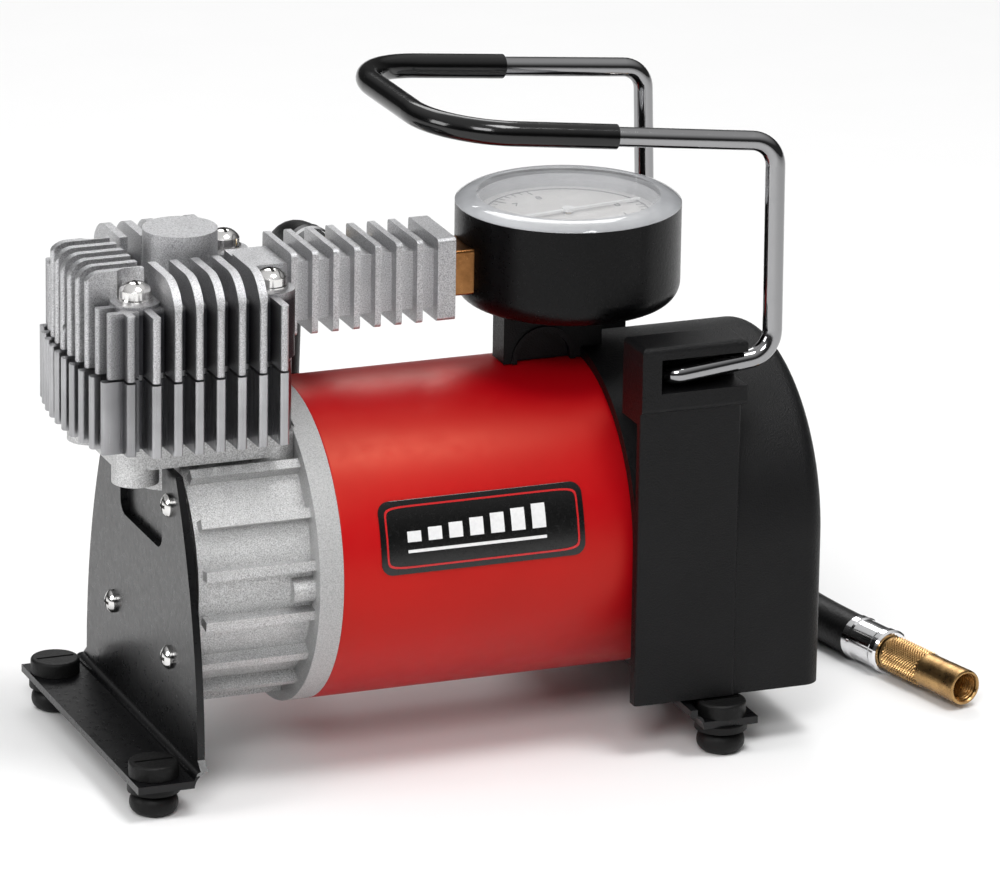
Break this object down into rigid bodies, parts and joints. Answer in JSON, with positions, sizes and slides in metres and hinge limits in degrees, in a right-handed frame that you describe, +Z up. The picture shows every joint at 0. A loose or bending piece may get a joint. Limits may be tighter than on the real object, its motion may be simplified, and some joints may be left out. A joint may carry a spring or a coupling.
{
  "type": "portable air compressor",
  "caption": "Small electric piston air compressor with finned cylinder, red motor tube, pressure gauge, wire carrying handle and a hose with a screw-on tyre valve connector.",
  "frame": {"origin": "on the ground, at the middle of the compressor's own length and width, under the motor axis", "axes": "+X along the motor from the cylinder to the rear cover, +Y to the side where the hose leaves, +Z up"},
  "size_m": [0.2477, 0.2197, 0.1773],
  "materials": {
    "black_sheet": "satin black",
    "foot_rubber": "matt",
    "zinc_screw": "bright zinc",
    "bright_casting": "grainy die casting",
    "fin_casting": "smooth extruded",
    "head_casting": "fine grainy casting",
    "dark_steel": "machined",
    "gasket": "matt",
    "brass": "turned",
    "black_plastic": "fine texture",
    "gauge_plastic": "smooth",
    "dial_face": "printed",
    "needle_white": "satin",
    "clear_lens": "polished clear plastic",
    "motor_red": "gloss",
    "label_film": "printed film",
    "magnet": "sintered",
    "copper": "enamelled wire",
    "bearing_steel": "ground",
    "carbon": "matt",
    "switch_plastic": "smooth",
    "chrome_rod": "polished",
    "grip_sleeve": "gloss",
    "hose_rubber": "satin"
  },
  "bodies": {
    "base": {"front_stand": "black_sheet", "rear_stand": "black_sheet", "rubber_feet": "foot_rubber", "stand_screws": "zinc_screw", "crankcase": "bright_casting", "crankcase_cover": "black_sheet", "cylinder_jacket": "fin_casting", "cylinder_liner": "dark_steel", "head_gasket": "gasket", "valve_plate": "dark_steel", "valve_reeds": "dark_steel", "cylinder_head": "head_casting", "head_washers": "zinc_screw", "head_screws": "zinc_screw", "outlet_manifold": "head_casting", "brass_fitting": "brass", "hose_fitting": "brass", "inlet_ferrule": "chrome_rod", "gauge_case": "gauge_plastic", "gauge_dial": "dial_face", "gauge_lens": "clear_lens", "bourdon_tube": "brass", "gauge_socket": "brass", "gauge_frame": "brass", "motor_tube": "motor_red", "label_plate": "label_film", "motor_magnets": "magnet", "end_bell": "dark_steel", "long_screws": "zinc_screw", "front_bearing": "bearing_steel", "rear_bearing": "bearing_steel", "brush_plate": "black_plastic", "carbon_brushes": "carbon", "brush_springs": "dark_steel", "rear_cover": "black_plastic", "cover_screws": "zinc_screw", "cable_gland": "foot_rubber", "switch_housing": "switch_plastic", "air_hose": "hose_rubber", "outlet_ferrule": "chrome_rod", "valve_stem": "brass", "valve_washer": "gasket"},
    "rotor": {"motor_shaft": "bearing_steel", "armature_core": "dark_steel", "armature_windings": "copper", "commutator": "copper", "crank_web": "dark_steel"},
    "piston_set": {"piston": "head_casting", "piston_ring": "gasket", "wrist_pin": "bearing_steel"},
    "rod_set": {"connecting_rod": "head_casting", "big_end_bearing": "bearing_steel", "crank_pin": "bearing_steel"},
    "needle_set": {"needle_staff": "brass", "gauge_needle": "needle_white"},
    "sector": {"sector_gear": "brass"},
    "rocker": {"switch_rocker": "switch_plastic"},
    "handle": {"handle_bar": "chrome_rod", "handle_grip": "grip_sleeve"},
    "nut": {"valve_nut": "brass"}
  },
  "joints": [
    {"name": "motor_spin", "type": "hinge", "parent": "base", "child": "rotor", "pos_m": [0, 0, 0.0561], "axis": [1, 0, 0], "continuous": true},
    {"name": "piston_slide", "type": "slide", "parent": "base", "child": "piston_set", "axis": [0, 0, 1], "range_m": [0, 0.014]},
    {"name": "rod_swing", "type": "hinge", "parent": "piston_set", "child": "rod_set", "pos_m": [-0.0665, 0, 0.0911], "axis": [1, 0, 0], "range_deg": [-9.6, 9.6]},
    {"name": "needle_turn", "type": "hinge", "parent": "base", "child": "needle_set", "pos_m": [0.0418, 0, 0.13], "axis": [0, 0, 1], "range_deg": [-270, 0]},
    {"name": "sector_turn", "type": "hinge", "parent": "base", "child": "sector", "pos_m": [0.0533, 0, 0.133], "axis": [0, 0, 1], "range_deg": [0, 37.7]},
    {"name": "switch_rock", "type": "hinge", "parent": "base", "child": "rocker", "pos_m": [0.0976, 0, 0.0641], "axis": [0, 1, 0], "range_deg": [0, 16]},
    {"name": "handle_rock", "type": "hinge", "parent": "base", "child": "handle", "pos_m": [0.0536, 0, 0.105], "axis": [0, 1, 0], "range_deg": [0, 4]},
    {"name": "nut_spin", "type": "hinge", "parent": "base", "child": "nut", "pos_m": [0.13824, -0.01842, 0.0062], "axis": [0.2316, -0.9728, 0], "continuous": true}
  ],
  "couplings": [
    {"joint": "needle_turn", "follows": "sector_turn", "ratio": -7.1429}
  ]
}
